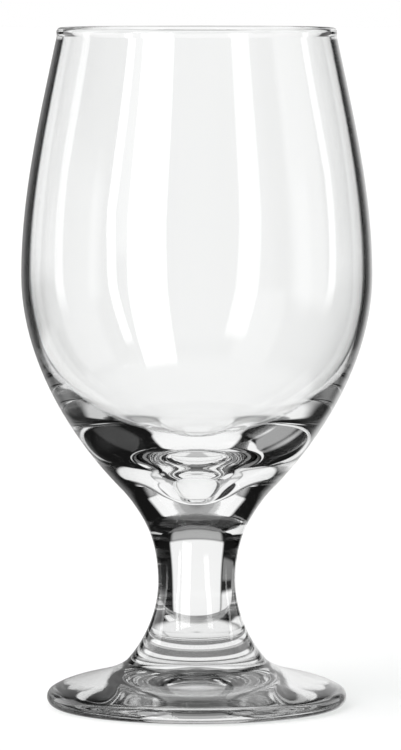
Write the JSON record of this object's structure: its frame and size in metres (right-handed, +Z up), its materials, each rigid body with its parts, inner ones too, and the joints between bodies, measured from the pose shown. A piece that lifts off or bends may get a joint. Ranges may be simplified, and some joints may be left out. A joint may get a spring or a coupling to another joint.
{
  "type": "water goblet",
  "caption": "Clear glass water goblet with a deep tulip bowl that narrows to a beaded rim, a short waisted solid stem and a round foot, for serving drinks.",
  "frame": {"origin": "centre of the ring that the foot stands on", "axes": "+Z up along the axis that the goblet is turned about, towards the rim; X and Y in the table's plane"},
  "size_m": [0.0888, 0.0888, 0.172],
  "materials": {
    "bowl_glass": "clear, fire polished",
    "stem_glass": "clear, fire polished",
    "foot_glass": "clear, pressed and fire polished"
  },
  "bodies": {
    "root": {"bowl": "bowl_glass", "stem": "stem_glass", "foot": "foot_glass"}
  },
  "joints": []
}
